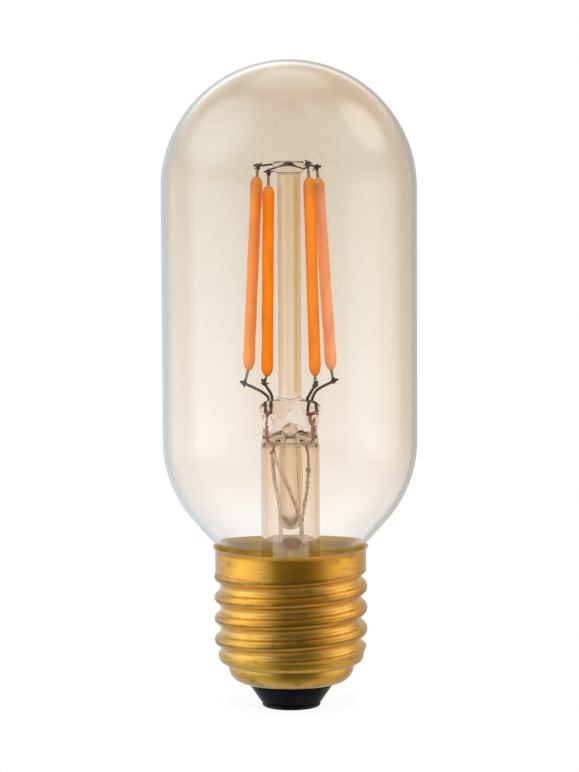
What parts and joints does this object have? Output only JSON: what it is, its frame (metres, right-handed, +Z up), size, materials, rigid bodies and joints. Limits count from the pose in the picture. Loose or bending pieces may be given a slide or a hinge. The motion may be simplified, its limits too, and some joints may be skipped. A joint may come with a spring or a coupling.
{
  "type": "tubular light bulb",
  "caption": "Tubular filament lamp: clear amber glass on a brass Edison screw cap, with coated light-emitting filaments on a glass stem and a driver in the cap.",
  "frame": {"origin": "centre of the foot contact's lower face, on the lamp's axis", "axes": "+Z up the lamp's axis from the cap to the dome, -Y to the side seen in the picture, +X to the right there"},
  "size_m": [0.0432, 0.0432, 0.1102],
  "materials": {
    "envelope_glass": "clear, pale amber",
    "stem_glass": "clear",
    "filament_coating": "satin silicone",
    "wire_steel": "nickel wire, dulled by heat",
    "seal_copper": "copper-clad wire",
    "lead_sleeve": "pale sleeve",
    "cap_brass": "satin drawn brass, a little tarnished",
    "insulator_glass": "black glass",
    "contact_metal": "darkened contact",
    "cement": "matt baked cement",
    "board": "pale laminate",
    "film_case": "dipped",
    "black_case": "moulded",
    "can_metal": "plain can",
    "choke_body": "ferrite drum",
    "resistor_body": "lacquered"
  },
  "bodies": {
    "root": {"glass_envelope": "envelope_glass", "stem_flare": "stem_glass", "exhaust_tube": "stem_glass", "support_rod": "stem_glass", "left_outer_filament": "filament_coating", "left_inner_filament": "filament_coating", "right_inner_filament": "filament_coating", "right_outer_filament": "filament_coating", "left_outer_upper_tab": "wire_steel", "left_inner_upper_tab": "wire_steel", "right_inner_upper_tab": "wire_steel", "right_outer_upper_tab": "wire_steel", "left_outer_lower_tab": "wire_steel", "left_inner_lower_tab": "wire_steel", "right_inner_lower_tab": "wire_steel", "right_outer_lower_tab": "wire_steel", "rear_upper_wire": "wire_steel", "front_upper_wire": "wire_steel", "left_outer_lower_lead": "wire_steel", "left_inner_lower_lead": "wire_steel", "right_inner_lower_lead": "wire_steel", "right_outer_lower_lead": "wire_steel", "left_seal_wire": "seal_copper", "right_seal_wire": "seal_copper", "left_lead": "lead_sleeve", "cross_lead": "lead_sleeve", "right_lead": "lead_sleeve", "cap_shell": "cap_brass", "insulator": "insulator_glass", "contact_pin": "contact_metal", "cement_ring": "cement", "driver_board": "board", "film_capacitor": "film_case", "bridge_rectifier": "black_case", "driver_chip": "black_case", "smoothing_capacitor": "can_metal", "choke": "choke_body", "fuse_resistor": "resistor_body", "shell_lead": "seal_copper"}
  },
  "joints": []
}
